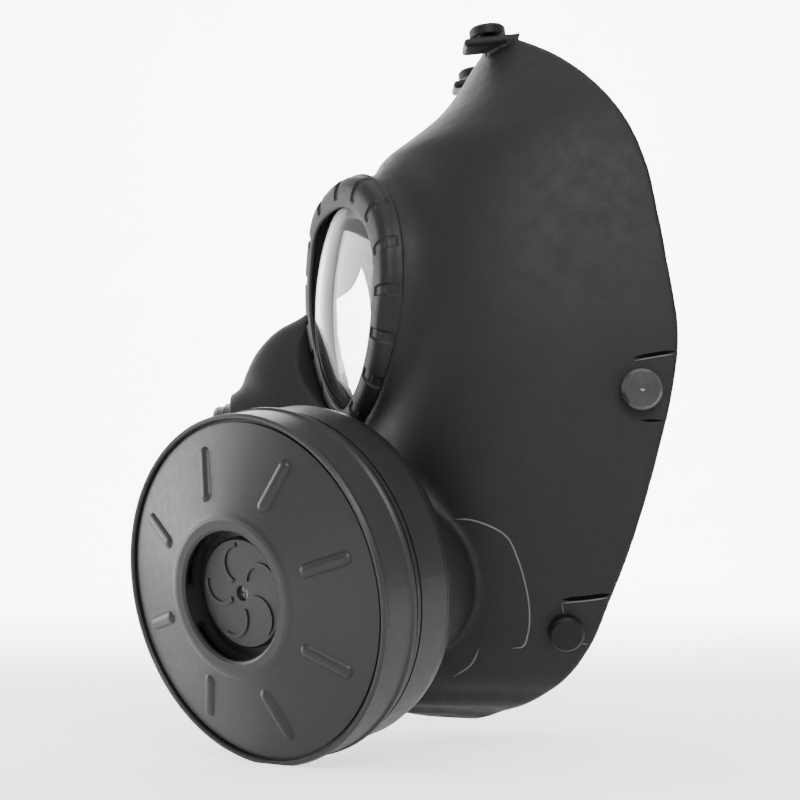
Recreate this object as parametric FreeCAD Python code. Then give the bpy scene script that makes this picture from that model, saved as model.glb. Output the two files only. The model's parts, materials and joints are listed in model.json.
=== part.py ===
import FreeCAD, Part
import math
import os

# Full-face respirator with a fan canister on the left cheek.
# Millimetres. +Z up, the wearer looks along -Y, the wearer's left is +X.
# The origin is the middle of the face opening.

# ---- facepiece ----
skin = 2.6                # wall of the rubber shell
head_width_line = 0.0     # Y where the shell is widest
head_back = 45.0          # solids run this far back before the rear edge is cut
# height, front of the shell, half width, squareness of the section
head_sections = [
    (124.0, -23.0, 38.0, 2.0),
    (116.4, -28.9, 42.0, 2.0),
    (105.4, -35.9, 49.0, 2.0),
    (97.0, -41.0, 55.0, 2.0),
    (86.0, -49.8, 61.5, 2.1),
    (78.0, -59.3, 65.0, 2.2),
    (71.5, -67.0, 67.0, 2.4),
    (60.0, -71.0, 69.5, 2.7),
    (36.0, -75.0, 72.5, 3.0),
    (8.0, -76.0, 74.0, 3.0),
    (-20.0, -77.0, 73.0, 3.0),
    (-46.0, -80.0, 71.0, 2.9),
    (-70.0, -82.0, 67.0, 2.7),
    (-90.0, -77.0, 60.0, 2.5),
    (-101.5, -71.0, 50.0, 2.3),
    (-108.0, -65.0, 38.0, 2.2),
    (-110.8, -58.0, 26.0, 2.1),
]
muzzle_sections = [
    (30.0, -83.0, 10.0, 2.2),
    (21.9, -91.6, 13.0, 2.3),
    (16.7, -101.0, 16.0, 2.4),
    (10.9, -107.0, 19.0, 2.5),
    (3.0, -111.5, 22.5, 2.7),
    (-6.0, -114.0, 26.0, 2.9),
    (-22.0, -115.0, 30.0, 3.0),
    (-46.0, -115.0, 32.0, 3.0),
    (-70.0, -110.0, 32.0, 2.8),
    (-90.0, -100.0, 29.0, 2.5),
    (-102.0, -87.0, 24.0, 2.3),
    (-108.0, -76.0, 18.0, 2.1),
]
muzzle_width_line = -50.0
# rear edge seen from the side: Y and Z from the brow down to under the chin
rear_edge = [(-34.0, 122.0), (-28.9, 115.4), (-21.5, 107.5), (-9.8, 97.0), (2.0, 84.0), (8.2, 74.0),
             (13.0, 61.3), (16.4, 44.0), (18.8, 29.0), (21.6, 6.0), (18.9, -14.7), (15.6, -28.2),
             (11.5, -43.5), (4.8, -64.2), (1.3, -73.3), (-4.8, -88.5), (-8.8, -95.0), (-14.4, -101.0),
             (-23.5, -107.2), (-32.0, -111.5), (-41.0, -115.5)]
seal_width = 11.0         # foam strip inside the rear edge
seal_thickness = 3.4

# ---- eyepieces, in a frame of their own: across, up, out ----
eye_centre = (37.5, -79.6, 20.0)
eye_turn = 25.0           # degrees outwards
eye_outline = [(0.0, 32.8), (13.0, 27.6), (20.3, 20.0), (24.2, 5.0), (22.3, -6.0), (18.6, -18.0),
               (11.0, -28.5), (1.0, -34.0), (-8.0, -28.5), (-15.5, -19.0), (-22.3, -6.0), (-24.3, 5.0),
               (-23.3, 17.0), (-19.5, 27.6), (-10.0, 32.0)]
lens_across_radius = 62.0 # the lens curves more across than up and down
lens_up_radius = 121.0
lens_thickness = 2.0
lens_crown = 4.4          # how far the middle of the lens stands out
bezel_depth = 5.5
bezel_width = 5.6
brow_swell = 0.5          # the bezel is this much wider at its top
lip_level = 0.2           # the bezel's lip starts here, in front of the lens edge
bezel_notches = 15
notch_width = 3.2

# ---- canister: own frame, +Z along its axis, zero at the seat on the cheek ----
canister_yaw = 46.7       # degrees left of straight ahead
canister_dip = 10.75      # degrees below the horizon
seat_centre = (49.1, -76.3, -61.9)
rim_radius = 52.3
rim_height = 45.0
band_split = 31.5         # the front cover starts here
drum_back = 10.5          # outside of the drum's rear wall
rear_radius = 51.2
wall = 2.3
boss_radius = 31.0
neck_radius = 19.9        # 40 mm thread
neck_bore = 14.0
neck_end = -8.0
spigot_outer = 49.8
spigot_inner = 47.6
running_gap = 0.08
flange_height = rim_height + 8.6
flange_radius = 23.2
recess_radius = 19.2
recess_floor = rim_height + 0.9
cap_radius = 16.4
rib_count = 8
rib_first_angle = 13.6
rib_inner = 27.5
rib_outer = 44.5
rib_half_width = 2.4
window_count = 4
window_half_width = 9.5

# ---- fan, filter and power ----
plate_level = band_split - 1.8
plate_thickness = 1.5
filter_top = rim_height - 2.4
motor_radius = 10.0
shaft_radius = 1.0
blade_count = 9
blade_reach = 18.8
hub_radius = 7.0
fan_low = 11.5
fan_high = 24.0
cell_radius = 5.2
cell_length = 44.0
cell_offset = 36.5
cell_height = drum_back + wall + 5.6
button_radius = 4.0
button_angle = -100.0
button_height = 20.5
pleat_pitch = 4.2

# ---- ports and harness buttons ----
port_radius = 20.0
port_outer = 22.5
port_flange = 27.0
boss_wall = 3.0
swell_centre = (57.0, -64.0, -68.0)   # round swelling of the cheek behind the canister
swell_radius = 25.5
swell_limit = 8.5         # height on the canister's axis where it stops
outlet_centre = (0.0, -117.0, -33.0)
stud_head_height = 2.4
stud_neck_radius = 2.4
washer_radius = 4.8
stud_clearance = 9.5      # free radius round a forehead button, for the strap
# name, place of the left one, direction across it, direction out, radius of its head, lower end of its neck
studs = [
    ("forehead_button", (27.0, -31.8, 109.8), (1, 0, 0), (0.0, -0.12, 0.99), 6.0, -2.2),
    ("temple_button", (73.8, 9.7, -10.2), (0, 1, 0), (1.0, 0.0, -0.03), 6.2, -4.6),
    ("cheek_button", (62.9, -12.1, -82.4), (0, 1, 0), (0.94, 0.0, -0.34), 5.5, -4.6),
]


def vec(x, y, z):
    return FreeCAD.Vector(x, y, z)


def frame_at(origin, across, out):
    """placement whose +X is across and +Z is out"""
    across = vec(*across)
    out = vec(*out)
    across.normalize()
    out.normalize()
    up = out.cross(across)
    m = FreeCAD.Matrix(across.x, up.x, out.x, origin[0],
                       across.y, up.y, out.y, origin[1],
                       across.z, up.z, out.z, origin[2],
                       0, 0, 0, 1)
    return FreeCAD.Placement(m)


def placed(shape, placement):
    moved = shape.copy()
    moved.Placement = placement.multiply(moved.Placement)
    return moved


def mirrored(shape):
    return shape.mirror(vec(0, 0, 0), vec(1, 0, 0))


def both_sides(shape):
    return [shape, mirrored(shape)]


def save(name, shape):
    shape.exportStep("parts/" + name + ".step")


def cylinder(radius, low, high, x=0.0, y=0.0):
    return Part.makeCylinder(radius, high - low, vec(x, y, low))


def ring(inner, outer, low, high):
    return cylinder(outer, low, high).cut(cylinder(inner, low - 1, high + 1))


def revolved(points):
    """solid of revolution about Z from radius, height points"""
    corners = [vec(r, 0, z) for r, z in points]
    face = Part.Face(Part.makePolygon(corners + [corners[0]]))
    return face.revolve(vec(0, 0, 0), vec(0, 0, 1), 360)


def turned(shape, degrees):
    return placed(shape, FreeCAD.Placement(vec(0, 0, 0), FreeCAD.Rotation(vec(0, 0, 1), degrees)))


def around(shape, count, first=0.0):
    return [turned(shape, first + 360.0 * i / count) for i in range(count)]


def fuse_all(shapes):
    return shapes[0].multiFuse(shapes[1:]).removeSplitter()


def canister_frame():
    yaw = math.radians(canister_yaw)
    dip = math.radians(canister_dip)
    out = (math.sin(yaw) * math.cos(dip), -math.cos(yaw) * math.cos(dip), -math.sin(dip))
    return frame_at(seat_centre, (math.cos(yaw), math.sin(yaw), 0), out)


def outlet_frame():
    return frame_at(outlet_centre, (1, 0, 0), (0, -1, 0))


def eye_frame():
    turn = math.radians(eye_turn)
    return frame_at(eye_centre, (math.cos(turn), math.sin(turn), 0), (math.sin(turn), -math.cos(turn), 0))


# ---- facepiece ----
def section_wire(z, front, half, power, width_line, back):
    """a horizontal section: rounded front, straight sides, flat back"""
    depth = width_line - front
    points = []
    steps = 16
    for i in range(steps + 1):
        turn = math.pi * i / steps
        c = math.cos(turn)
        s = math.sin(turn)
        x = half * math.copysign(abs(c) ** (2.0 / power), c)
        y = width_line - depth * abs(s) ** (2.0 / power)
        points.append(vec(x, y, z))
    curve = Part.BSplineCurve()
    curve.interpolate(points)
    left = vec(half, back, z)
    right = vec(-half, back, z)
    edges = [curve.toShape(), Part.makeLine(points[-1], right),
             Part.makeLine(right, left), Part.makeLine(left, points[0])]
    return Part.Wire(edges)


def section_loft(sections, inset, width_line, back):
    """solid through the sections, all drawn in by inset; the lowest end moves up by inset too"""
    wires = []
    for z, front, half, power in sections:
        low = sections[-1][0] + inset
        wires.append(section_wire(max(z, low), front + inset, half - inset, power, width_line, back))
    return Part.makeLoft(wires, True)


def head_loft(inset):
    return section_loft(head_sections, inset, head_width_line, head_back + 2 * inset)


def muzzle_loft(inset):
    top = muzzle_sections[0][0] - inset
    sections = [(min(z, top), front, half, power) for z, front, half, power in muzzle_sections]
    return section_loft(sections, inset, muzzle_width_line, muzzle_width_line + 30.0)


def behind_edge(shift):
    """everything behind the rear edge, moved forward by shift"""
    curve = Part.BSplineCurve()
    curve.interpolate([vec(-120, y - shift, z) for y, z in rear_edge])
    first = vec(-120, rear_edge[0][0] - shift, rear_edge[0][1])
    last = vec(-120, rear_edge[-1][0] - shift, rear_edge[-1][1])
    corners = [last, vec(-120, last.y, -140), vec(-120, 80, -140), vec(-120, 80, 150),
               vec(-120, first.y - 30, 150), vec(-120, first.y - 30, first.z), first]
    edges = [curve.toShape()]
    for a, b in zip(corners, corners[1:]):
        edges.append(Part.makeLine(a, b))
    return Part.Face(Part.Wire(edges)).extrude(vec(240, 0, 0))


def eye_wire(grow, height):
    points = []
    for x, y in eye_outline:
        reach = math.hypot(x, y)
        k = (reach + grow * (1 + brow_swell * max(0.0, y) / eye_outline[0][1])) / reach
        points.append(vec(x * k, y * k, height))
    curve = Part.BSplineCurve()
    curve.interpolate(Points=points, PeriodicFlag=True)
    return Part.Wire(curve.toShape())


def eye_prism(grow, low, high):
    return Part.makeLoft([eye_wire(grow, low), eye_wire(grow, high)], True)


def brow_tab():
    """the bent tab that carries a forehead button"""
    return Part.makeBox(13.0, 21.0, skin, vec(-6.5, -8.5, -skin))


def mouth_side():
    """everything nearer the mirror plane than the cheek swelling"""
    return Part.makeBox(40.0, 200.0, 200.0, vec(10.0, -150.0, -150.0))


def build_shell(canister, outlet, eye):
    sockets = both_sides(placed(eye_prism(bezel_width + 0.4, -45.0, -bezel_depth), eye))
    pocket_walls = both_sides(placed(eye_prism(bezel_width + 0.6 + skin, -bezel_depth - skin, 12.0), eye))
    socket_rooms = both_sides(placed(eye_prism(bezel_width - 2.0, -46.0, -bezel_depth - skin), eye))
    cheek_boss = placed(cylinder(31.0, -34.0, -2.0), canister)
    cheek_room = placed(cylinder(28.0, -36.0, -2.0 - boss_wall), canister)
    outlet_boss = placed(cylinder(27.5, -24.0, 0.0), outlet)
    outlet_room = placed(cylinder(24.8, -26.0, -boss_wall), outlet)
    swell = Part.makeSphere(swell_radius, vec(*swell_centre))
    swell = swell.cut(placed(cylinder(80.0, swell_limit, 60.0), canister)).cut(mouth_side())
    solid = head_loft(0.0).multiFuse([muzzle_loft(0.0), cheek_boss, outlet_boss, swell] + sockets)
    room = head_loft(skin).multiFuse([muzzle_loft(skin), cheek_room, outlet_room] + socket_rooms)
    for pocket_wall in pocket_walls:
        room = room.cut(pocket_wall)
    holes = both_sides(placed(eye_prism(-1.0, -20.0, 0.0), eye))
    holes += both_sides(placed(eye_prism(bezel_width + 0.6, -bezel_depth, 12.0), eye))
    holes.append(placed(cylinder(port_outer + 0.05, -20.0, 5.0), canister))
    holes.append(placed(cylinder(boss_radius + 0.5, -2.0, 12.0), canister))
    holes.append(placed(cylinder(20.05, -10.0, 5.0), outlet))
    shell = solid.cut(room).cut(behind_edge(0.0))
    for hole in holes:
        shell = shell.cut(hole)
    strap_room = cylinder(stud_clearance, 0.0, 14.0)
    for space in both_sides(placed(strap_room, frame_at(*studs[0][1:4]))):
        shell = shell.cut(space)
    tab = placed(brow_tab(), frame_at(*studs[0][1:4])).cut(room)
    shell = shell.multiFuse(both_sides(tab))
    for name, origin, across, out, head, neck_low in studs:
        place = frame_at(origin, across, out)
        for neck in both_sides(placed(cylinder(stud_neck_radius, neck_low - 0.1, 3.0), place)):
            shell = shell.cut(neck)
    return shell, build_seal(room)


def build_seal(room):
    inside = head_loft(skin + seal_thickness)
    seal = room.cut(inside).cut(behind_edge(0.4)).common(behind_edge(seal_width))
    for name, origin, across, out, head, neck_low in studs:
        place = frame_at(origin, across, out)
        for pocket in both_sides(placed(cylinder(washer_radius + 0.4, neck_low - 4.0, 3.0), place)):
            seal = seal.cut(pocket)
    return seal


# ---- eyepieces ----
def build_bezel():
    layers = [(0.3, -bezel_depth), (0.3, -2.4), (-0.3, -0.5), (-1.6, 0.7), (-3.4, 1.2)]
    body = Part.makeLoft([eye_wire(bezel_width + grow, height) for grow, height in layers], True)
    body = body.cut(eye_prism(-0.6, lip_level, 10.0)).cut(eye_prism(0.1, -20.0, lip_level))
    body = body.cut(eye_prism(0.1, -12.0, 6.0).common(lens_band(0.1)))
    spots = eye_wire(bezel_width, 0.0).discretize(Number=bezel_notches + 1)[:-1]
    for spot in spots:
        angle = math.degrees(math.atan2(spot.y, spot.x))
        reach = math.hypot(spot.x, spot.y)
        front = Part.makeBox(12.0, notch_width, 8.0, vec(reach - 3.6, -notch_width / 2, 0.4))
        side = Part.makeBox(12.0, notch_width, 6.0, vec(reach - 0.9, -notch_width / 2, -4.4))
        body = body.cut(turned(front, angle)).cut(turned(side, angle))
    return body


def lens_band(lift):
    """a thin band bent across and swept round the up-and-down curve, its front raised by lift"""
    middle = lens_crown - lens_across_radius
    rays = [(math.sin(t), math.cos(t)) for t in (-0.6, 0.0, 0.6)]
    edges = []
    ends = []
    for radius in (lens_across_radius + lift, lens_across_radius - lens_thickness):
        a, b, c = [vec(radius * x, 0, middle + radius * z) for x, z in rays]
        edges.append(Part.Arc(a, b, c).toShape())
        ends.append((a, c))
    edges.insert(1, Part.makeLine(ends[0][1], ends[1][1]))
    edges.append(Part.makeLine(ends[1][0], ends[0][0]))
    band = Part.Face(Part.Wire(Part.__sortEdges__(edges)))
    axis = vec(0, 0, lens_crown - lens_up_radius)
    band.rotate(axis, vec(1, 0, 0), -25)
    return band.revolve(axis, vec(1, 0, 0), 50)


def build_lens():
    return eye_prism(-0.1, -12.0, 6.0).common(lens_band(0.0))


def build_lens_ring():
    return eye_prism(-0.1, -bezel_depth, -4.0).cut(eye_prism(-3.0, -20.0, 0.0))


# ---- ports ----
def build_cheek_port():
    tube = ring(port_radius, port_outer, -13.0, 0.0)
    return tube.fuse(ring(port_outer, port_flange, -2.0, 0.0)).removeSplitter()


def round_nut(bore, across, low, high):
    """a thin nut with twelve flats"""
    sides = 12
    points = []
    for i in range(sides + 1):
        a = 2 * math.pi * i / sides
        points.append(vec(across * math.cos(a), across * math.sin(a), low))
    body = Part.Face(Part.makePolygon(points)).extrude(vec(0, 0, high - low))
    return body.cut(cylinder(bore, low - 1, high + 1))


def spider(outer, rim, low, high):
    """open disc: rim, four spokes and a middle boss"""
    parts = [ring(rim, outer, low, high), cylinder(3.2, low, high)]
    spoke = Part.makeBox(rim + 0.6, 2.0, high - low, vec(0, -1.0, low))
    parts += around(spoke, 4, 45.0)
    return fuse_all(parts)


def build_outlet():
    housing = ring(17.5, 20.0, -12.0, 3.4).fuse(ring(20.0, 24.5, 0.0, 1.8)).removeSplitter()
    nut = round_nut(20.05, 24.0, -9.0, -boss_wall - 0.05)
    seat = spider(17.45, 12.0, -6.0, -4.0)
    flap = cylinder(13.2, -3.9, -3.1)
    cover = revolved([(0, 4.2), (20.9, 4.2), (20.9, 3.6), (20.08, 3.6), (20.08, 2.1), (23.6, 2.1),
                      (23.6, 4.2), (22.9, 5.3), (21.6, 5.8), (0, 5.8)])
    slot = Part.makeBox(9.0, 2.2, 4.0, vec(7.0, -1.1, 3.5))
    for cut in around(slot, 12, 15.0):
        cover = cover.cut(cut)
    return {"outlet_housing": housing, "outlet_nut": nut, "exhale_valve_seat": seat,
            "exhale_flap": flap, "exhale_cover": cover}


def build_stud(radius, neck_low):
    top = 1.4 + stud_head_height
    head = revolved([(0, 1.4), (radius, 1.4), (radius, top), (radius - 0.9, top + 0.9), (0, top + 1.2)])
    neck = cylinder(stud_neck_radius - 0.05, neck_low, 1.4)
    return head.fuse(neck).removeSplitter()


# ---- canister ----
def radial_frame(angle, height):
    """placement in the canister's frame: +Z points outwards at an angle, at a height on the axis"""
    a = math.radians(angle)
    return frame_at((0, 0, height), (-math.sin(a), math.cos(a), 0), (math.cos(a), math.sin(a), 0))


def build_base():
    inner = rear_radius - wall
    floor = drum_back + wall
    body = revolved([(neck_bore, neck_end), (neck_radius - 0.6, neck_end), (neck_radius, neck_end + 0.6),
                     (neck_radius, 2), (boss_radius, 2), (boss_radius, drum_back - 1.5),
                     (boss_radius + 1.5, drum_back), (rear_radius - 5.5, drum_back),
                     (rear_radius - 2.6, drum_back + 0.9), (rear_radius - 0.9, drum_back + 2.9),
                     (rear_radius, drum_back + 6.5),
                     (rear_radius, band_split - 1.6), (spigot_outer, band_split - 1.6),
                     (spigot_outer, band_split + 3), (spigot_inner, band_split + 3),
                     (spigot_inner, plate_level - 0.1), (inner, plate_level - 2.4), (inner, floor + 2),
                     (inner - 2, floor), (29, floor), (29, 4.4), (neck_bore, 4.4)])
    for height in (drum_back + 5.0, band_split - 3.6):
        body = body.cut(ring(rear_radius - 0.35, rear_radius + 2, height, height + 0.7))
    hole = cylinder(button_radius + running_gap, 45, 60)
    return body.cut(placed(hole, radial_frame(button_angle, button_height)))


def build_cover():
    cone_foot = rim_radius - 2.6
    skirt = spigot_outer + running_gap
    cone_wall = 1.9
    rim = rim_height
    body = revolved([(skirt, band_split), (rim_radius, band_split), (rim_radius + 0.2, band_split + 0.4),
                     (rim_radius + 0.2, band_split + 1.3), (rim_radius - 0.4, band_split + 2.0),
                     (rim_radius - 0.4, rim - 1.8), (rim_radius, rim - 1.0),
                     (rim_radius, rim - 0.3), (rim_radius - 0.5, rim + 0.5), (rim_radius - 1.3, rim + 0.5),
                     (rim_radius - 1.7, rim), (rim_radius - 1.7, rim - 1.4), (cone_foot, rim - 1.4),
                     (cone_foot, rim - 0.4), (flange_radius + 1.6, flange_height - 0.86),
                     (flange_radius + 0.3, flange_height - 0.25), (flange_radius - 0.8, flange_height),
                     (recess_radius + 0.8, flange_height), (recess_radius, flange_height - 0.6),
                     (recess_radius, recess_floor), (1.3, recess_floor), (1.3, recess_floor - 1.5),
                     (recess_radius + 1.8, recess_floor - 1.5),
                     (recess_radius + 1.8, flange_height - cone_wall),
                     (cone_foot - 1.5, rim - 0.4 - cone_wall), (cone_foot - 1.5, rim - 4.0), (skirt, rim - 5.0)])
    window = Part.makeBox(7.5, 2 * window_half_width, 3.6, vec(recess_radius - 5.2, -window_half_width, rim + 3.6))
    for cut in around(window, window_count, 55.0):
        body = body.cut(cut)
    return body.multiFuse(around(build_rib(cone_foot), rib_count, rib_first_angle))


def build_rib(cone_foot):
    """a round-ended bar lying half sunk along the cone"""
    rise = (flange_height - rim_height - 0.2) / (cone_foot - flange_radius - 0.8)
    outer_end = rib_outer - rib_half_width
    length = rib_outer - rib_inner - 2 * rib_half_width
    surface = rim_height - 0.4 + rise * (cone_foot - outer_end)
    start = vec(outer_end, 0, surface - 1.3)
    end = vec(outer_end - length, 0, start.z + rise * length)
    along = end.sub(start)
    bar = Part.makeCylinder(rib_half_width, along.Length, start, along)
    rib = bar.multiFuse([Part.makeSphere(rib_half_width, start), Part.makeSphere(rib_half_width, end)])
    under = revolved([(0, 20), (cone_foot - 2, 20), (cone_foot - 2, rim_height - 1.2),
                      (flange_radius, flange_height - 1.4), (0, flange_height - 1.4)])
    return rib.cut(under)


def build_cap():
    """centre disc with five plain curved vanes"""
    low = recess_floor + 0.05
    high = rim_height + 3.4
    disc = revolved([(2.3, low), (cap_radius, low), (cap_radius, high - 0.5), (cap_radius - 0.6, high), (2.3, high)])
    arc = ring(5.2, 6.4, high - 0.4, high + 0.5)
    vane = arc.common(Part.makeBox(20, 20, 4, vec(-10, 0, high - 1.4)))
    vane.translate(vec(8.6, 0, 0))
    vane = vane.cut(cylinder(4.6, low, high + 2))
    disc = disc.multiFuse(around(vane, 5, 18.0))
    return disc.cut(cylinder(2.3, low - 1, high + 2))


def build_screw():
    low = recess_floor + 0.1
    head = cylinder(2.2, low, low + 1.0)
    slot = Part.makeBox(3.0, 0.6, 0.8, vec(-1.5, -0.3, low + 0.5))
    head = head.cut(slot).cut(turned(slot, 90))
    return head.fuse(cylinder(1.2, low - 3.1, low))


def build_fan_plate():
    high = plate_level + plate_thickness
    plate = ring(20.0, spigot_inner - 0.1, plate_level, high)
    seat = ring(1.4, motor_radius + 1, plate_level, high)
    spokes = around(Part.makeBox(12.0, 2.4, plate_thickness, vec(9.5, -1.2, plate_level)), 4, 45.0)
    for hole in around(cylinder(1.3, plate_level - 1, high + 1, 45.0, 0.0), 4, 45.0):
        plate = plate.cut(hole)
    return fuse_all([plate, seat] + spokes)


def build_impeller():
    hub = ring(shaft_radius + 0.01, hub_radius, fan_low, fan_high)
    blade = Part.makeBox(blade_reach - hub_radius + 0.8, 1.3, 10.0, vec(hub_radius - 0.8, -0.65, 0))
    blade.rotate(vec(0, 0, 5.0), vec(1, 0, 0), 38.0)
    blade.translate(vec(0, 0, (fan_low + fan_high) / 2 - 5.0))
    blade = blade.common(ring(hub_radius - 0.8, blade_reach, fan_low, fan_high))
    return hub.multiFuse(around(blade, blade_count))


def build_cells():
    cells = []
    axis = vec(0, 1, 0)
    for side in (-1, 1):
        x = side * cell_offset
        can = Part.makeCylinder(cell_radius, cell_length - 0.9, vec(x, -cell_length / 2, cell_height), axis)
        tip = Part.makeCylinder(1.9, 0.9, vec(x, cell_length / 2 - 0.9, cell_height), axis)
        cells.append(can.fuse(tip))
    return Part.makeCompound(cells)


def build_contacts():
    plates = []
    for side in (-1, 1):
        for end in (-1, 1):
            y = end * (cell_length / 2 + 0.25)
            corner = vec(side * cell_offset - 3.5, y - 0.2, cell_height - 3.5)
            plates.append(Part.makeBox(7.0, 0.4, 7.0, corner))
    return Part.makeCompound(plates)


def build_pleats(low, high):
    half = 46.0
    sheet = 0.9
    count = int(2 * half / pleat_pitch)
    top = []
    for i in range(2 * count + 1):
        x = -half + i * pleat_pitch / 2
        top.append((x, high if i % 2 else low + sheet))
    bottom = [(x, z - sheet) for x, z in reversed(top)]
    corners = [vec(x, -half, z) for x, z in top + bottom]
    pack = Part.Face(Part.makePolygon(corners + [corners[0]])).extrude(vec(0, 2 * half, 0))
    return pack.common(ring(13.2, 45.6, low - 1, high + 1))


def build_canister():
    parts = {}
    high = plate_level + plate_thickness
    floor = drum_back + wall
    low = high + 0.1
    parts["canister_base"] = build_base()
    parts["canister_gasket"] = ring(20.3, 30.0, 0.3, 1.95)
    parts["front_cover"] = build_cover()
    parts["centre_cap"] = build_cap()
    parts["cap_screw"] = build_screw()
    parts["prefilter_pad"] = ring(5.0, 45.4, filter_top + 0.1, filter_top + 0.6)
    parts["filter_frame"] = fuse_all([ring(45.7, 47.3, low, filter_top), ring(11.6, 13.1, low, filter_top),
                                      ring(44.0, 46.0, low, low + 0.7)])
    parts["filter_pleats"] = build_pleats(low + 0.8, filter_top - 0.6)
    parts["fan_plate"] = build_fan_plate()
    parts["fan_shroud"] = ring(19.3, 21.2, fan_low - 2.0, plate_level - 0.05)
    parts["fan_screws"] = Part.makeCompound(around(cylinder(1.2, plate_level - 3, high, 45.0, 0.0), 4, 45.0))
    parts["fan_motor"] = ring(shaft_radius + 0.05, motor_radius, high + 0.05, high + 9.5)
    parts["motor_shaft"] = cylinder(shaft_radius, fan_low, high + 8.0)
    parts["impeller"] = build_impeller()
    parts["battery_cells"] = build_cells()
    parts["battery_contacts"] = build_contacts()
    parts["control_board"] = Part.makeBox(24.0, 9.0, 1.2, vec(-12.0, 33.0, floor + 1.5))
    radial = radial_frame(button_angle, button_height)
    parts["switch_body"] = placed(Part.makeBox(7.0, 7.0, 4.0, vec(-3.5, -3.5, 40.0)), radial)
    button = cylinder(button_radius, 45.5, rear_radius + 0.9).fuse(cylinder(5.0, 46.4, 47.6))
    parts["power_button"] = placed(button, radial)
    return parts


def main():
    os.makedirs("parts", exist_ok=True)
    canister = canister_frame()
    outlet = outlet_frame()
    eye = eye_frame()

    shell, seal = build_shell(canister, outlet, eye)
    save("face_shell", shell)
    save("face_seal", seal)

    for name, shape in (("bezel", build_bezel()), ("lens", build_lens()), ("lens_ring", build_lens_ring())):
        left, right = both_sides(placed(shape, eye))
        save("left_" + name, left)
        save("right_" + name, right)

    save("cheek_port_ring", placed(build_cheek_port(), canister))
    save("cheek_port_nut", placed(round_nut(port_outer + 0.05, port_flange, -10.0, -2.05 - boss_wall), canister))
    save("inhale_valve_seat", placed(spider(port_radius - 0.05, 15.5, -13.0, -11.0), canister))
    save("inhale_flap", placed(cylinder(17.0, -13.9, -13.1), canister))

    for name, shape in build_outlet().items():
        save(name, placed(shape, outlet))

    washer = ring(stud_neck_radius + 0.05, washer_radius, -skin - 1.4, -skin - 0.35)
    washers = []
    for name, origin, across, out, head, neck_low in studs:
        place = frame_at(origin, across, out)
        left, right = both_sides(placed(build_stud(head, neck_low), place))
        save("left_" + name, left)
        save("right_" + name, right)
        if neck_low < -skin:
            washers += both_sides(placed(washer, place))
    save("button_washers", Part.makeCompound(washers))

    for name, shape in build_canister().items():
        save(name, placed(shape, canister))


main()
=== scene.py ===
import bpy
import json
import math
import numpy as np
from mathutils import Matrix, Vector


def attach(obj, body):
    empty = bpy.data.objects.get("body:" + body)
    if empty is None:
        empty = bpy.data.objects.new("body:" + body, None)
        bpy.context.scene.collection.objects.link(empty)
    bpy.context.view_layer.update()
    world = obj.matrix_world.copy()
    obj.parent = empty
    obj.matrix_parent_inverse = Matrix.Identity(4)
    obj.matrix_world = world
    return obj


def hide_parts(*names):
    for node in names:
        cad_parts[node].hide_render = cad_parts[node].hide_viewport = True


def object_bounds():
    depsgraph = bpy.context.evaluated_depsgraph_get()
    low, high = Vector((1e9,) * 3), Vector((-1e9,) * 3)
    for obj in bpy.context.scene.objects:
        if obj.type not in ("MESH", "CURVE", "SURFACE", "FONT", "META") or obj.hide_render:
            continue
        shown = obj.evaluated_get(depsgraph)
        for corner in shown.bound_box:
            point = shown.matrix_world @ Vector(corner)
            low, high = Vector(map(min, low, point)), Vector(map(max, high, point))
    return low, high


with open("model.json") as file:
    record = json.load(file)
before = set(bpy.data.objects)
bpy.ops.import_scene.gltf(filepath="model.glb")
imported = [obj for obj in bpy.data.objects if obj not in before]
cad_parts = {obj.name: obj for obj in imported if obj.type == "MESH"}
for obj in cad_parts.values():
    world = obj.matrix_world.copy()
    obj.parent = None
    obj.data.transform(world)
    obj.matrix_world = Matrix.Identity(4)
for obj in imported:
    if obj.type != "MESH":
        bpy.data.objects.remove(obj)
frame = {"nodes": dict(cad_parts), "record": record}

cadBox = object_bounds()
nodes = frame["nodes"]
mm = 0.001

# sections of the head and the muzzle, in mm: height, front, half width, squareness
headRows = np.array([
    (124.0, -23.0, 38.0, 2.0), (116.4, -28.9, 42.0, 2.0), (105.4, -35.9, 49.0, 2.0),
    (97.0, -41.0, 55.0, 2.0), (86.0, -49.8, 61.5, 2.1), (78.0, -59.3, 65.0, 2.2),
    (71.5, -67.0, 67.0, 2.4), (60.0, -71.0, 69.5, 2.7), (36.0, -75.0, 72.5, 3.0),
    (8.0, -76.0, 74.0, 3.0), (-20.0, -77.0, 73.0, 3.0), (-46.0, -80.0, 71.0, 2.9),
    (-70.0, -82.0, 67.0, 2.7), (-90.0, -77.0, 60.0, 2.5), (-101.5, -71.0, 50.0, 2.3),
    (-108.0, -65.0, 38.0, 2.2), (-110.8, -58.0, 26.0, 2.1)])
muzzleRows = np.array([
    (30.0, -83.0, 10.0, 2.2), (21.9, -91.6, 13.0, 2.3), (16.7, -101.0, 16.0, 2.4),
    (10.9, -107.0, 19.0, 2.5), (3.0, -111.5, 22.5, 2.7), (-6.0, -114.0, 26.0, 2.9),
    (-22.0, -115.0, 30.0, 3.0), (-46.0, -115.0, 32.0, 3.0), (-70.0, -110.0, 32.0, 2.8),
    (-90.0, -100.0, 29.0, 2.5), (-102.0, -87.0, 24.0, 2.3), (-108.0, -76.0, 18.0, 2.1)])
# the rear edge: height, then how far back
rearRows = np.array([
    (122.0, -34.0), (115.4, -28.9), (107.5, -21.5), (97.0, -9.8), (84.0, 2.0), (74.0, 8.2),
    (61.3, 13.0), (44.0, 16.4), (29.0, 18.8), (6.0, 21.6), (-14.7, 18.9), (-28.2, 15.6), (-43.5, 11.5),
    (-64.2, 4.8), (-73.3, 1.3), (-88.5, -4.8), (-95.0, -8.8), (-101.0, -14.4), (-107.2, -23.5),
    (-111.5, -32.0), (-115.5, -41.0)])
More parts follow.
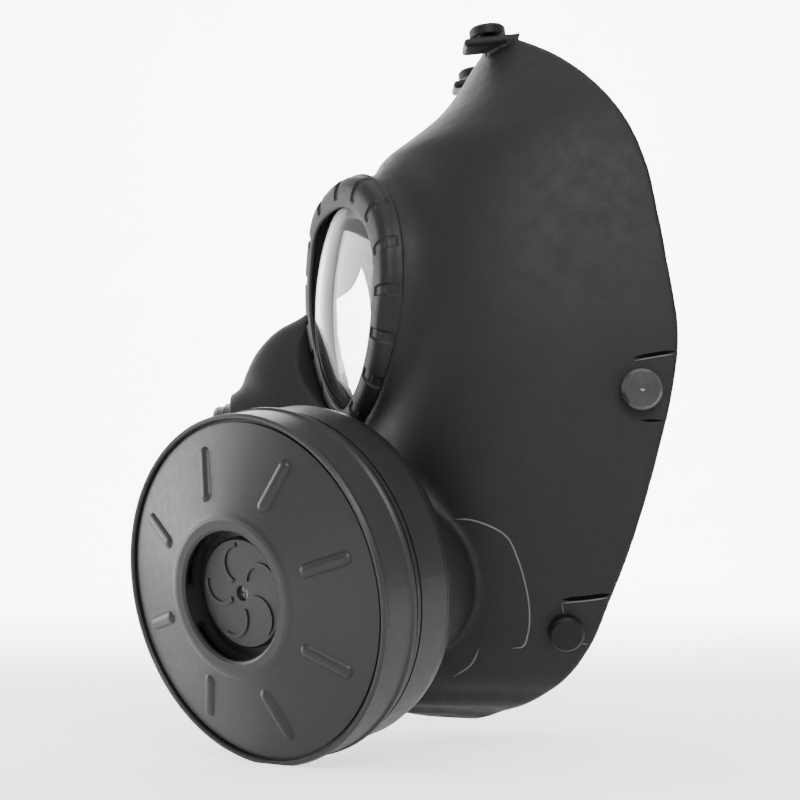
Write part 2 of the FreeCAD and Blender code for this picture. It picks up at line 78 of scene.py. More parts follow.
# outline of an eyepiece about its middle; the bezel around it widens towards the brow
browSwell = 0.5
eyeOutline = np.array([
    (0.0, 32.8), (13.0, 27.6), (20.3, 20.0), (24.2, 5.0), (22.3, -6.0), (18.6, -18.0), (11.0, -28.5),
    (1.0, -34.0), (-8.0, -28.5), (-15.5, -19.0), (-22.3, -6.0), (-24.3, 5.0), (-23.3, 17.0),
    (-19.5, 27.6), (-10.0, 32.0)])

def placeAt(origin, across, out):
    a = Vector(across).normalized()
    o = Vector(out).normalized()
    u = o.cross(a)
    m = Matrix((a, u, o)).transposed().to_4x4()
    m.translation = Vector(origin)
    return m


# where the canister, the outlet, the eyepieces and the buttons sit
yaw, dip = math.radians(46.7), math.radians(10.75)
canisterPlace = placeAt((49.1, -76.3, -61.9), (math.cos(yaw), math.sin(yaw), 0),
                        (math.sin(yaw) * math.cos(dip), -math.cos(yaw) * math.cos(dip), -math.sin(dip)))
outletPlace = placeAt((0, -117, -33), (1, 0, 0), (0, -1, 0))
turn = math.radians(25)
eyePlace = placeAt((37.5, -79.6, 20.0), (math.cos(turn), math.sin(turn), 0),
                   (math.sin(turn), -math.cos(turn), 0))
browPlace = placeAt((27.0, -31.8, 109.8), (1, 0, 0), (0.0, -0.12, 0.99))
templePlace = placeAt((73.8, 9.7, -10.2), (0, 1, 0), (1.0, 0.0, -0.03))
cheekPlace = placeAt((62.9, -12.1, -82.4), (0, 1, 0), (0.94, 0.0, -0.34))


def smoothThrough(xs, ys, x):
    # cubic through uneven points, with the slope at each taken from its neighbours
    slope = np.gradient(ys, xs)
    i = np.clip(np.searchsorted(xs, x) - 1, 0, len(xs) - 2)
    h = xs[i + 1] - xs[i]
    t = np.clip((x - xs[i]) / h, 0, 1)
    a = (1 + 2 * t) * (1 - t) ** 2 * ys[i] + t * (1 - t) ** 2 * h * slope[i]
    return a + t * t * (3 - 2 * t) * ys[i + 1] + t * t * (t - 1) * h * slope[i + 1]


def softMin(a, b, k):
    h = np.clip(0.5 + 0.5 * (b - a) / k, 0, 1)
    return b + (a - b) * h - k * h * (1 - h)


def softMax(a, b, k):
    return -softMin(-a, -b, k)


def makeGrid(low, high, step):
    axes = [np.arange(low[i], high[i] + step, step) for i in range(3)]
    return np.meshgrid(*axes, indexing="ij")


def trueDistance(field, step):
    gx, gy, gz = np.gradient(field, step)
    return field / np.maximum(np.sqrt(gx * gx + gy * gy + gz * gz), 1e-6)


def loftField(rows, widthLine, x, y, zLine):
    rows = rows[::-1]
    z = zLine[0, 0, :]
    front, half, power = [smoothThrough(rows[:, 0], rows[:, i], z)[None, None, :] for i in (1, 2, 3)]
    u = np.abs(x) / half
    v = np.maximum(widthLine - y, 0) / (widthLine - front)
    return ((u ** power + v ** power + 1e-9) ** (1 / power) - 1) * 30


def local(place, x, y, z):
    m = np.array(place.inverted())
    return [m[i, 0] * x + m[i, 1] * y + m[i, 2] * z + m[i, 3] for i in range(3)]


def rodField(place, radius, low, high, x, y, z):
    a, b, c = local(place, x, y, z)
    return softMax(np.hypot(a, b) - radius, np.maximum(c - high, low - c), 1.5)


def eyeRadius(angle, grow):
    # distance of the eyepiece outline from its middle, along an angle
    px, py = eyeOutline[:, 0], eyeOutline[:, 1]
    reach = np.hypot(px, py)
    reach = reach + grow * (1 + browSwell * np.maximum(py, 0) / py[0])
    turns = np.arctan2(py, px)
    order = np.argsort(turns)
    turns, reach = turns[order], reach[order]
    turns = np.concatenate([turns - 2 * math.pi, turns, turns + 2 * math.pi])
    return smoothThrough(turns, np.tile(reach, 3), angle)


def eyeField(grow, low, high, x, y, z):
    a, b, c = local(eyePlace, x, y, z)
    flat = np.hypot(a, b) - eyeRadius(np.arctan2(b, a), grow)
    return softMax(flat, np.maximum(c - high, low - c), 1.0)


def boxField(place, low, high, round_, x, y, z):
    a = local(place, x, y, z)
    q = [np.abs(a[i] - (low[i] + high[i]) / 2) - (high[i] - low[i]) / 2 + round_ for i in range(3)]
    outside = np.sqrt(sum(np.maximum(v, 0) ** 2 for v in q))
    return outside + np.minimum(np.maximum(np.maximum(q[0], q[1]), q[2]), 0) - round_


def rearField(y, z):
    heights, backs = rearRows[::-1, 0], rearRows[::-1, 1]
    zIn = np.clip(z, -115.5, 122)
    edge = smoothThrough(heights, backs, zIn)
    steep = smoothThrough(heights, backs, zIn + 0.5) - smoothThrough(heights, backs, zIn - 0.5)
    return (y - edge) / np.sqrt(1 + steep * steep)


def readGrid(field, low, step, points):
    # value between the grid's samples
    at = (points - np.array(low)) / step
    base = np.clip(np.floor(at).astype(int), 0, np.array(field.shape) - 2)
    f = at - base
    total = 0
    for i in (0, 1):
        for j in (0, 1):
            for k in (0, 1):
                part = np.where(i, f[:, 0], 1 - f[:, 0]) * np.where(j, f[:, 1], 1 - f[:, 1])
                part = part * np.where(k, f[:, 2], 1 - f[:, 2])
                total = total + part * field[base[:, 0] + i, base[:, 1] + j, base[:, 2] + k]
    return total


def surfaceNet(field, low, step):
    # a quad mesh of the zero level: one point per mixed cell, one face per crossed edge
    inside = field < 0
    shape = [n - 1 for n in field.shape]
    full = np.zeros(shape, np.int8)
    for i in (0, 1):
        for j in (0, 1):
            for k in (0, 1):
                full += inside[i:i + shape[0], j:j + shape[1], k:k + shape[2]]
    cells = np.argwhere((full > 0) & (full < 8))
    number = np.full(shape, -1, np.int64)
    number[tuple(cells.T)] = np.arange(len(cells))
    total = np.zeros((len(cells), 3))
    count = np.zeros(len(cells))
    for axis in range(3):
        others = [n for n in range(3) if n != axis]
        for p in (0, 1):
            for q in (0, 1):
                start = np.zeros(3, int)
                start[others[0]], start[others[1]] = p, q
                stop = start.copy()
                stop[axis] = 1
                a = field[tuple((cells + start).T)]
                b = field[tuple((cells + stop).T)]
                hit = (a < 0) != (b < 0)
                t = a[hit] / (a[hit] - b[hit])
                spot = np.tile(start.astype(float), (hit.sum(), 1))
                spot[:, axis] += t
                total[hit] += spot
                count[hit] += 1
    points = np.array(low) + step * (cells + total / count[:, None])
    faces = []
    for axis in range(3):
        p, q = [n for n in range(3) if n != axis]
        near = [slice(None)] * 3
        far = [slice(None)] * 3
        near[axis], far[axis] = slice(0, -1), slice(1, None)
        a, b = inside[tuple(near)], inside[tuple(far)]
        at = np.argwhere(a != b)
        keep = (at[:, p] > 0) & (at[:, q] > 0) & (at[:, p] < shape[p]) & (at[:, q] < shape[q])
        at = at[keep]
        starts = a[tuple(at.T)]
        ring = []
        for dp, dq in ((1, 1), (0, 1), (0, 0), (1, 0)):
            c = at.copy()
            c[:, p] -= dp
            c[:, q] -= dq
            ring.append(number[tuple(c.T)])
        ring = np.stack(ring, 1)
        flip = starts if axis != 1 else ~starts
        ring[~flip] = ring[~flip][:, ::-1]
        faces.append(ring)
    return points, np.concatenate(faces)


def meshFrom(name, points, faces, material):
    mesh = bpy.data.meshes.new(name)
    mesh.from_pydata([tuple(p) for p in np.asarray(points) * mm], [],
                     [tuple(int(i) for i in f) for f in faces])
    mesh.validate()
    obj = bpy.data.objects.new(name, mesh)
    bpy.context.scene.collection.objects.link(obj)
    mesh.materials.append(material)
    mesh.polygons.foreach_set("use_smooth", [True] * len(mesh.polygons))
    return obj


def relax(obj, iterations):
    mod = obj.modifiers.new("Smooth", "SMOOTH")
    mod.factor = 0.5
    mod.iterations = iterations
    bpy.context.view_layer.update()
    shape = bpy.data.meshes.new_from_object(obj.evaluated_get(bpy.context.evaluated_depsgraph_get()))
    obj.modifiers.clear()
    old = obj.data
    obj.data = shape
    bpy.data.meshes.remove(old)


def settle(obj, fieldAt, rounds, iterations):
    # relaxes the mesh, then puts every point back on the surface
    probe = 0.35  # mm
    for _ in range(rounds):
        relax(obj, iterations)
        count = len(obj.data.vertices)
        flat = np.empty(count * 3)
        obj.data.vertices.foreach_get("co", flat)
        points = flat.reshape(-1, 3) / mm
        for _ in range(2):  # two steps down the slope of the field
            value = fieldAt(points)
            slope = np.empty_like(points)
            for axis in range(3):
                shift = np.zeros(3)
                shift[axis] = probe
                slope[:, axis] = (fieldAt(points + shift) - fieldAt(points - shift)) / (2 * probe)
            size = np.maximum((slope ** 2).sum(1), 0.25)
            points = points - np.clip(value / size, -0.8, 0.8)[:, None] * slope
        obj.data.vertices.foreach_set("co", (points * mm).ravel())
        obj.data.update()
    obj.data.polygons.foreach_set("use_smooth", [True] * len(obj.data.polygons))


def nodeTree(name):
    mat = bpy.data.materials.new(name)
    mat.use_nodes = True
    tree = mat.node_tree
    shader = tree.nodes["Principled BSDF"]
    place = tree.nodes.new("ShaderNodeTexCoord")
    return mat, tree, shader, place.outputs["Object"]


def addNoise(tree, coords, scale, detail=4.0, rough=0.55):
    n = tree.nodes.new("ShaderNodeTexNoise")
    n.inputs["Scale"].default_value = scale
    n.inputs["Detail"].default_value = detail
    n.inputs["Roughness"].default_value = rough
    tree.links.new(coords, n.inputs["Vector"])
    return n.outputs["Fac"]


def addRamp(tree, value, low, high, start=0.3, end=0.7):
    r = tree.nodes.new("ShaderNodeValToRGB")
    r.color_ramp.elements[0].position = start
    r.color_ramp.elements[1].position = end
    r.color_ramp.elements[0].color = (*low, 1)
    r.color_ramp.elements[1].color = (*high, 1)
    tree.links.new(value, r.inputs["Fac"])
    return r.outputs["Color"]


def addRange(tree, value, low, high):
    r = tree.nodes.new("ShaderNodeMapRange")
    r.inputs["From Min"].default_value = 0.3
    r.inputs["From Max"].default_value = 0.7
    r.inputs["To Min"].default_value = low
    r.inputs["To Max"].default_value = high
    tree.links.new(value, r.inputs["Value"])
    return r.outputs["Result"]


def addBump(tree, shader, value, strength, distance, after=None):
    b = tree.nodes.new("ShaderNodeBump")
    b.inputs["Strength"].default_value = strength
    b.inputs["Distance"].default_value = distance
    tree.links.new(value, b.inputs["Height"])
    if after is not None:
        tree.links.new(after, b.inputs["Normal"])
    tree.links.new(b.outputs["Normal"], shader.inputs["Normal"])
    return b.outputs["Normal"]


def moulded(name, tone, spread, rough, grain, grainDepth, wave=0.0, tint=(1, 1, 1.02), patch=28,
            specular=0.5):
    # moulded rubber or plastic: faint patches of tone, scuffs, a fine grain and sometimes a soft wave
    mat, tree, shader, coords = nodeTree(name)
    broad = addNoise(tree, coords, patch, 5.0, 0.6)
    low = [tone * (1 - spread) * t for t in tint]
    high = [tone * (1 + spread) * t for t in tint]
    tree.links.new(addRamp(tree, broad, low, high), shader.inputs["Base Color"])
    scuff = addNoise(tree, coords, patch * 9, 6.0, 0.65)
    tree.links.new(addRange(tree, scuff, rough[0], rough[1]), shader.inputs["Roughness"])
    normal = None
    if wave > 0:
        normal = addBump(tree, shader, addNoise(tree, coords, 45, 2.0), 1.0, wave)
    addBump(tree, shader, addNoise(tree, coords, grain, 2.0), 0.5, grainDepth, normal)
    shader.inputs["Specular IOR Level"].default_value = specular
    return mat


def foamLike(name, tone, cell):
    mat, tree, shader, coords = nodeTree(name)
    v = tree.nodes.new("ShaderNodeTexVoronoi")
    v.inputs["Scale"].default_value = cell
    tree.links.new(coords, v.inputs["Vector"])
    # painted shade: the pits of the bump are coloured darker
    pitShade = [c * 0.45 for c in tone]
    colour = addRamp(tree, v.outputs["Distance"], pitShade, tone, 0.1, 0.6)
    tree.links.new(colour, shader.inputs["Base Color"])
    addBump(tree, shader, v.outputs["Distance"], 0.8, 0.0004)
    tree.links.new(addRange(tree, addNoise(tree, coords, 300), 0.85, 0.95), shader.inputs["Roughness"])
    shader.inputs["Sheen Weight"].default_value = 0.2
    return mat


def metalLike(name, tone):
    mat, tree, shader, coords = nodeTree(name)
    shader.inputs["Metallic"].default_value = 1.0
    brush = addNoise(tree, coords, 900, 3.0)
    tree.links.new(addRamp(tree, brush, [c * 0.8 for c in tone], tone), shader.inputs["Base Color"])
    tree.links.new(addRange(tree, brush, 0.28, 0.4), shader.inputs["Roughness"])
    addBump(tree, shader, brush, 0.3, 0.00002)
    return mat


def clearLike(name, tone, rough):
    mat, tree, shader, coords = nodeTree(name)
    shader.inputs["Transmission Weight"].default_value = 1.0
    shader.inputs["IOR"].default_value = 1.45
    haze = addNoise(tree, coords, 60, 6.0, 0.6)
    tree.links.new(addRamp(tree, haze, [c * 0.93 for c in tone], tone), shader.inputs["Base Color"])
    tree.links.new(addRange(tree, haze, rough * 0.4, rough), shader.inputs["Roughness"])
    addBump(tree, shader, addNoise(tree, coords, 35, 2.0), 0.15, 0.00005)
    return mat


# one finish for each slot of the record, and two for the thin lines: a light one that paints a highlight along
# the ridges, and a dark one that paints the shadow in the slits
mats = {
    "shell_rubber": moulded("shellRubber", 0.0085, 0.12, (0.48, 0.6), 2600, 0.00004, 0.00008, patch=22,
                            specular=0.24),
    "seal_foam": foamLike("sealFoam", (0.016, 0.016, 0.0165), 1400),
    "bezel_rubber": moulded("bezelRubber", 0.0075, 0.14, (0.42, 0.55), 2400, 0.00005, 0.00005, patch=60,
                            specular=0.26),
    "lens_clear": clearLike("lensClear", (0.97, 0.98, 0.98), 0.03),
    "hard_plastic": moulded("hardPlastic", 0.007, 0.14, (0.38, 0.5), 3000, 0.00003, specular=0.35),
    "valve_silicone": moulded("valveSilicone", 0.32, 0.10, (0.35, 0.5), 1500, 0.00003,
                              tint=(1, 0.93, 0.8)),
    "button_black": moulded("buttonBlack", 0.005, 0.15, (0.42, 0.55), 2600, 0.00003, patch=160,
                            specular=0.2),
    "button_clear": moulded("buttonClear", 0.022, 0.2, (0.16, 0.26), 700, 0.00001, patch=260,
                            specular=0.6),
    # raised ridges whose light colour is a painted highlight along their edge
    "highlight_line": moulded("paintedHighlightLine", 0.09, 0.15, (0.4, 0.5), 1500, 0.00002, patch=200),
    # a dark line that paints the shadow inside a slit
    "slit_shade": moulded("slitShade", 0.0012, 0.2, (0.85, 0.95), 1500, 0.00002, patch=200,
                          specular=0.05),
    "canister_plastic": moulded("canisterPlastic", 0.008, 0.14, (0.30, 0.42), 2200, 0.00003, 0.00004,
                                patch=40, specular=0.34),
    "cover_plastic": moulded("coverPlastic", 0.0125, 0.12, (0.34, 0.44), 2000, 0.00004, 0.00003, patch=40,
                             specular=0.36),
    "gasket_rubber": moulded("gasketRubber", 0.006, 0.15, (0.6, 0.75), 1800, 0.00004, specular=0.25),
    "screw_steel": metalLike("screwSteel", (0.25, 0.25, 0.26)),
    "filter_foam": foamLike("filterFoam", (0.12, 0.12, 0.12), 900),
    "filter_card": moulded("filterCard", 0.42, 0.08, (0.6, 0.75), 1500, 0.00005),
    "filter_paper": moulded("filterPaper", 0.72, 0.07, (0.8, 0.9), 1800, 0.00010, tint=(1, 0.98, 0.92),
                            patch=90),
    "motor_can": metalLike("motorCan", (0.6, 0.6, 0.62)),
    "fan_plastic": moulded("fanPlastic", 0.055, 0.12, (0.35, 0.5), 2200, 0.00003),
    "cell_wrap": moulded("cellWrap", 0.10, 0.15, (0.2, 0.35), 900, 0.00002, tint=(0.6, 0.8, 1.6)),
    "contact_brass": metalLike("contactBrass", (0.75, 0.58, 0.28)),
    "board_green": moulded("boardGreen", 0.12, 0.2, (0.25, 0.4), 1200, 0.00003, tint=(0.3, 1.3, 0.55),
                           patch=300),
}
slotOf = {s["node"]: s["material_slot"] for s in frame["record"]["subparts"]}
for nodeName, obj in nodes.items():
    for slot in obj.material_slots:
        slot.material = mats[slotOf[nodeName]]
print("stage: materials on the carried parts")


# sizes in mm; a rod or an eyepiece cup is how wide it is, then from and to along its axis
shellLook = {
    "grid": 1.1,          # between samples of the shape
    "skin": 2.6,          # thickness of the wall
    "bottom": -110.8,
    "muzzleSpine": -50.0,  # the muzzle is widest here
    "muzzleEnds": (-20.0, 30.0, -108.0),  # back, top and bottom
    "muzzleBlend": 12.0,  # how softly the parts of the shell run into each other
    "eyeCup": (6.0, -45.0, -5.5),
    "eyeBlend": 9.0,
    "canisterCup": (31.0, -34.0, -2.0),
    "cheekBlend": 5.0,
    "outletCup": (27.5, -24.0, 0.0),
    "portBlend": 5.0,
    "swellPlace": (57.0, -64.0, -68.0),
    "swellSize": 25.5,
    "swellTop": 8.5,
    "bezelSocket": (6.15, -5.5, 14.0),
    "canisterSocket": (31.6, -2.0, 12.0),
    "browClear": (9.5, 0.0, 14.0),
    "browTab": ((-6.5, -8.5, -2.6), (6.5, 12.5, 0.0)),
    "eyeHole": (-1.0, -20.0, 0.0),
    "canisterHole": (22.7, -20.0, 5.0),
    "outletHole": (20.2, -12.0, 5.0),
}


def bodyField(x, y, z, step):
    look = shellLook
    back, top, foot = look["muzzleEnds"]
    head = loftField(headRows, 0.0, x, y, z)
    head = trueDistance(softMax(head, look["bottom"] - z, 5.0), step)
    muzzle = loftField(muzzleRows, look["muzzleSpine"], x, y, z)
    muzzle = softMax(muzzle, np.maximum(np.maximum(y - back, z - top), foot - z), 3.0)
    body = softMin(head, trueDistance(muzzle, step), look["muzzleBlend"])
    body = softMin(body, eyeField(*look["eyeCup"], np.abs(x), y, z), look["eyeBlend"])
    body = softMin(body, rodField(canisterPlace, *look["canisterCup"], x, y, z), look["cheekBlend"])
    body = softMin(body, rodField(outletPlace, *look["outletCup"], x, y, z), look["portBlend"])
    sx, sy, sz = look["swellPlace"]
    swell = np.sqrt((x - sx) ** 2 + (y - sy) ** 2 + (z - sz) ** 2) - look["swellSize"]
    swell = softMax(swell, local(canisterPlace, x, y, z)[2] - look["swellTop"], 3.0)
    return softMin(body, swell, 2.0)


def hollowed(body, x, y, z):
    # sockets for the bezels and the canister, which the wall follows
    outer = softMax(body, -eyeField(*shellLook["bezelSocket"], np.abs(x), y, z), 0.5)
    return softMax(outer, -rodField(canisterPlace, *shellLook["canisterSocket"], x, y, z), 0.8)


def shellField(body, x, y, z):
    look = shellLook
    mirrorX = np.abs(x)
    outer = hollowed(body, x, y, z)
    skin = softMax(outer, -(outer + look["skin"]), 0.6)
    skin = softMax(skin, rearField(y, z), 1.0)
    skin = softMax(skin, -rodField(browPlace, *look["browClear"], mirrorX, y, z), 0.8)
    tab = boxField(browPlace, *look["browTab"], 0.8, mirrorX, y, z)
    skin = softMin(skin, np.maximum(tab, -(body + 1.0)), 1.2)
    skin = softMax(skin, -eyeField(*look["eyeHole"], mirrorX, y, z), 0.6)
    skin = softMax(skin, -rodField(canisterPlace, *look["canisterHole"], x, y, z), 0.6)
    return softMax(skin, -rodField(outletPlace, *look["outletHole"], x, y, z), 0.6)


def buildShell():
    step = shellLook["grid"]
    low, high = (-82.0, -122.0, -118.0), (86.0, 28.0, 124.0)
    x, y, z = makeGrid(low, high, step)
    body = bodyField(x, y, z, step)
    points, faces = surfaceNet(shellField(body, x, y, z), low, step)
    piece = meshFrom("faceShell", points, faces, mats["shell_rubber"])

    def fieldAt(p):
        return shellField(readGrid(body, low, step, p), p[:, 0], p[:, 1], p[:, 2])

    settle(piece, fieldAt, 3, 3)
    return piece, (x, y, z, body, low, step)


# thin lines on each side of the shell, light ones with a painted highlight along a real ridge and dark ones
# with a painted slit shadow: radius, shade, then back-and-up pairs
lineLook = {
    "lift": 0.02,
    "lines": [
        (0.22, "highlight_line", [(-45.9, -48.9), (-41.7, -49.1), (-36.3, -50.7), (-30.3, -54.3), (-27.0, -60.8),
                               (-24.7, -68.1), (-23.2, -76.1), (-23.4, -83.3), (-24.8, -87.4), (-28.1, -88.0)]),
        (0.22, "highlight_line", [(-37.9, -88.2), (-39.9, -93.0), (-45.1, -97.2)]),
        (0.45, "slit_shade", [(-13.4, -73.2), (-6.0, -72.5), (1.4, -71.5)]),
        (0.16, "highlight_line", [(-13.6, -74.2), (-6.0, -73.5), (1.0, -72.5)]),
        (0.16, "highlight_line", [(-13.5, -74.2), (-13.1, -76.0), (-12.7, -78.0)]),
        (0.18, "highlight_line", [(-7.6, -86.6), (-6.2, -86.6), (-4.9, -86.6)]),
        (0.40, "slit_shade", [(7.9, -0.5), (14.0, 0.6), (20.4, 1.6)]),
        (0.14, "highlight_line", [(8.0, -1.4), (14.0, -0.3), (20.2, 0.7)]),
        (0.30, "slit_shade", [(10.0, -19.4), (13.5, -19.4), (16.8, -19.4)]),
    ],
}
def dropLine(target, waypoints, side):
    # evenly spaced spots along the waypoints, dropped onto one side of the shell
    way = np.array(waypoints)
    dist = np.concatenate([[0], np.cumsum(np.hypot(*np.diff(way, axis=0).T))])
    at = np.linspace(0, dist[-1], int(dist[-1] / 0.8) + 2)
    line = []
    for py, pz in zip(smoothThrough(dist, way[:, 0], at), smoothThrough(dist, way[:, 1], at)):
        start = Vector((0.12 * side, py * mm, pz * mm))
        hit, spot, normal, _ = target.ray_cast(start, Vector((-side, 0, 0)))
        if hit:
            line.append((spot / mm + normal * lineLook["lift"], normal))
    return line


def raiseLine(line, radius, points, faces):
    around = 8
    first = len(points)
    for i, (spot, normal) in enumerate(line):
        ahead = (line[min(i + 1, len(line) - 1)][0] - line[max(i - 1, 0)][0]).normalized()
        across = normal.cross(ahead).normalized()
        size = radius * min(1.0, 0.15 + i / 4, 0.15 + (len(line) - 1 - i) / 4)
        for k in range(around):
            a = 2 * math.pi * k / around
            reach = across * math.cos(a) * size * 1.3 + normal * math.sin(a) * size * 0.8
            points.append(tuple(spot + reach))
    rings = [[first + i * around + k for k in range(around)] for i in range(len(line))]
    for low, high in zip(rings, rings[1:]):
        for k in range(around):
            faces.append((low[k], low[(k + 1) % around], high[(k + 1) % around], high[k]))
    faces += [tuple(rings[0][::-1]), tuple(rings[-1])]


shell, sampled = buildShell()
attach(shell, "facepiece")
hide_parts("face_shell")
bpy.context.view_layer.update()
# one mesh of ridges with a painted highlight, one of dark lines with a painted slit shadow
for name, shade in (("highlightLines", "highlight_line"), ("slitShadowLines", "slit_shade")):
    points, faces = [], []
    for radius, lineShade, waypoints in lineLook["lines"]:
        if lineShade == shade:
            for side in (1, -1):
                raiseLine(dropLine(shell, waypoints, side), radius, points, faces)
    lines = meshFrom(name, points, faces, mats[shade])
    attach(lines, "facepiece")
print("stage: face shell", len(shell.data.vertices), "points")


# mm: how thick the foam is, how far it reaches in from the rear edge, and the gaps round the washers
sealLook = {"thickness": 3.4, "width": 11.0, "washerGap": (5.4, -12.0, 3.0)}


def sealField(body, x, y, z):
    outer = hollowed(body, x, y, z)
    rear = rearField(y, z)
    inner = outer + shellLook["skin"]
    strip = softMax(inner + 0.15, -(inner + sealLook["thickness"]), 1.6)
    strip = softMax(strip, np.maximum(rear + 0.5, -(rear + sealLook["width"])), 1.6)
    for place in (templePlace, cheekPlace):
        strip = softMax(strip, -rodField(place, *sealLook["washerGap"], np.abs(x), y, z), 0.8)
    return strip


def buildSeal():
    x, y, z, body, low, step = sampled
    points, faces = surfaceNet(sealField(body, x, y, z), low, step)
    piece = meshFrom("faceSeal", points, faces, mats["seal_foam"])
    settle(piece, lambda p: sealField(readGrid(body, low, step, p), p[:, 0], p[:, 1], p[:, 2]), 2, 3)
    return piece


seal = buildSeal()
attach(seal, "facepiece")
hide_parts("face_seal")
print("stage: face seal")


# mm: radii, then heights along the canister's axis, then the width of the rounded rims
padLook = {"inner": 5.0, "outer": 45.4, "low": 42.7, "high": 43.2, "rim": 1.4}


def buildPad():
    # a thin foam disc, a little uneven, that rounds off at its rims
    inner, outer = padLook["inner"], padLook["outer"]
    middle, half = (padLook["low"] + padLook["high"]) / 2, (padLook["high"] - padLook["low"]) / 2
    rim = padLook["rim"]
    steps = np.concatenate([inner + rim * np.linspace(0, 0.9, 7),
                            np.linspace(inner + rim, outer - rim, 34),
                            outer - rim * np.linspace(0.9, 0, 7)])
    rows = [(r, 1) for r in steps] + [(r, -1) for r in steps[-2:0:-1]]
    around = 240
    points, faces = [], []
    for r, side in rows:
        fade = max(0.0, 1 - min(r - inner, outer - r) / rim)
        for k in range(around):
            a = 2 * math.pi * k / around
            uneven = 1 - 0.12 * (1 + math.sin(7 * a + r * 0.5) * math.sin(3 * a - r * 0.8))
            h = middle + side * half * math.sqrt(1 - fade * fade) * uneven
            points.append(tuple(canisterPlace @ Vector((r * math.cos(a), r * math.sin(a), h))))
    for j in range(len(rows)):
        for k in range(around):
            here, there = j * around, (j + 1) % len(rows) * around
            faces.append((there + k, there + (k + 1) % around, here + (k + 1) % around, here + k))
    return meshFrom("dustPad", points, faces, mats["filter_foam"])


pad = buildPad()
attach(pad, "cover_thread")
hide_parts("prefilter_pad")
print("stage: dust pad")


bezelLook = {
    "around": 900,
    "grooves": 15,
    "groovePhase": -2.0,
    "grooveHalf": 1.9,
    "grooveDepth": 0.6,
    "width": 5.6,         # mm out from the eye outline, where the grooves are spaced
    # section of the rim: mm out from the eye outline, mm above the socket
    "section": [(-0.7, 0.1), (-0.6, 0.7), (0.1, 1.1), (1.4, 1.15), (2.8, 0.95), (4.2, 0.45), (5.4, -0.7),
                (6.05, -2.2), (6.4, -3.9), (6.9, -5.3), (6.5, -5.8), (4.0, -5.5), (1.5, -5.5), (0.2, -5.3),
                (0.15, -2.5), (0.1, -0.5), (-0.3, 0.0)],
}


def buildBezel(side):
    profile = np.array(bezelLook["section"])
    around = bezelLook["around"]
    angles = np.linspace(-math.pi, math.pi, around, endpoint=False)
    line = eyeRadius(angles, bezelLook["width"])
    px, py = line * np.cos(angles), line * np.sin(angles)
    lengths = np.hypot(np.roll(px, -1) - px, np.roll(py, -1) - py)
    along = np.concatenate([[0], np.cumsum(lengths)[:-1]])
    pitch = lengths.sum() / bezelLook["grooves"]
    off = np.abs((along + bezelLook["groovePhase"] + pitch / 2) % pitch - pitch / 2)
    cut = np.clip((bezelLook["grooveHalf"] - off) / 0.45, 0, 1)
    cut = cut * cut * (3 - 2 * cut)
    fine = []  # the section again, with points between along a smooth curve
    count = len(profile)
    for i in range(count):
        a, b, c, d = [profile[(i + k) % count] for k in (-1, 0, 1, 2)]
        for t in (0.0, 0.34, 0.67):
            fine.append(0.5 * (2 * b + (c - a) * t + (2 * a - 5 * b + 4 * c - d) * t * t
                               + (3 * b - a - 3 * c + d) * t ** 3))
    points = []
    for g, h in fine:
        edge = min(max((g - 0.9) / 1.0, 0), 1) * min(max((h + 4.4) / 0.8, 0), 1)
        depth = bezelLook["grooveDepth"] * cut * edge * edge * (3 - 2 * edge)
        reach = eyeRadius(angles, g) - depth * 0.8
        height = h - depth * (0.9 if h > -0.5 else 0.2)
        for k in range(around):
            a = angles[k]
            p = eyePlace @ Vector((reach[k] * math.cos(a), reach[k] * math.sin(a), height[k]))
            points.append((p.x * side, p.y, p.z))
    rows = len(fine)
    faces = []
    for j in range(rows):
        for k in range(around):
            quad = (j * around + k, j * around + (k + 1) % around,
                    (j + 1) % rows * around + (k + 1) % around, (j + 1) % rows * around + k)
            faces.append(quad if side < 0 else quad[::-1])
    return points, faces


for sideName, side in (("left", 1), ("right", -1)):
    points, faces = buildBezel(side)
    bezel = meshFrom(sideName + "Bezel", points, faces, mats["bezel_rubber"])
    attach(bezel, "facepiece")
    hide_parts(sideName + "_bezel")
print("stage: bezels")


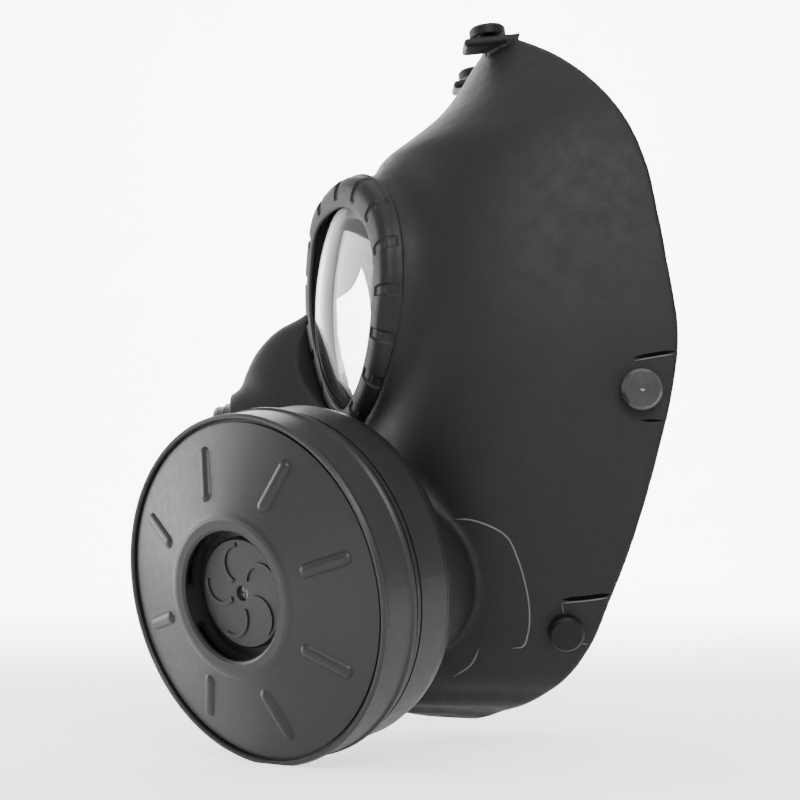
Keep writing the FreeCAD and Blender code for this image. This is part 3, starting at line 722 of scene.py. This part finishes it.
def buildFloor():
    floorZ = cadBox[0][2] / mm - 0.4
    spine = [(900, floorZ), (-900, floorZ), (-1500, floorZ + 60), (-1900, floorZ + 300), (-2100, floorZ + 800),
             (-2150, floorZ + 2400)]
    points = []
    for px, pz in spine:
        points += [(px, -2600, pz), (px, 2600, pz)]
    faces = [(2 * i, 2 * i + 1, 2 * i + 3, 2 * i + 2) for i in range(len(spine) - 1)]
    mat, tree, shader, coords = nodeTree("floorPaper")
    fine = addNoise(tree, coords, 12, 3.0)
    tree.links.new(addRamp(tree, fine, (0.86, 0.86, 0.86), (0.9, 0.9, 0.9)), shader.inputs["Base Color"])
    shader.inputs["Roughness"].default_value = 0.9
    shader.inputs["Emission Color"].default_value = (1, 1, 1, 1)
    ray = tree.nodes.new("ShaderNodeLightPath")
    glow = tree.nodes.new("ShaderNodeMath")
    glow.operation = "MULTIPLY_ADD"
    glow.inputs[1].default_value = 1.0
    glow.inputs[2].default_value = 0.5
    tree.links.new(ray.outputs["Is Camera Ray"], glow.inputs[0])
    tree.links.new(glow.outputs["Value"], shader.inputs["Emission Strength"])
    floor = meshFrom("floorSweep", points, faces, mat)
    mod = floor.modifiers.new("Subdivision", "SUBSURF")
    mod.levels = mod.render_levels = 3


def addLight(name, place, target, size, power):
    data = bpy.data.lights.new(name, "AREA")
    data.shape = "RECTANGLE"
    data.size, data.size_y = size
    data.energy = power
    light = bpy.data.objects.new(name, data)
    light.location = place
    light.rotation_euler = (Vector(target) - Vector(place)).to_track_quat("-Z", "Y").to_euler()
    bpy.context.scene.collection.objects.link(light)


buildFloor()
addLight("keyLight", (-0.35, -1.35, 0.1), (0.03, -0.08, -0.05), (0.9, 0.9), 20)
addLight("sideLight", (1.3, 0.1, 0.75), (0.05, 0.0, 0.03), (0.7, 0.7), 16)
addLight("topLight", (0.1, 0.1, 1.3), (0, -0.03, 0), (1.2, 1.2), 5)
addLight("backLight", (-1.0, 0.0, 0.9), (-1.9, 0.0, 0.2), (1.6, 0.8), 130)
world = bpy.data.worlds.new("paleRoom")
world.use_nodes = True
world.node_tree.nodes["Background"].inputs["Color"].default_value = (1, 1, 1, 1)
world.node_tree.nodes["Background"].inputs["Strength"].default_value = 0.85
bpy.context.scene.world = world

cameraLook = {
    "place": (0.6372, -0.0823, -0.0628),
    "right": (0.0349, 0.9994, 0.0),
    "up": (0.0871, -0.0030, 0.9962),
    "back": (0.9956, -0.0348, -0.0872),
    "lens": 85,
}

camData = bpy.data.cameras.new("mainCamera")
camData.lens = cameraLook["lens"]
camData.sensor_width = 36
camData.clip_start = 0.01
camera = bpy.data.objects.new("mainCamera", camData)
axes = Matrix((cameraLook["right"], cameraLook["up"], cameraLook["back"])).transposed().to_4x4()
axes.translation = Vector(cameraLook["place"])
camera.matrix_world = axes
bpy.context.scene.collection.objects.link(camera)
bpy.context.scene.camera = camera
print("stage: floor, light and camera")
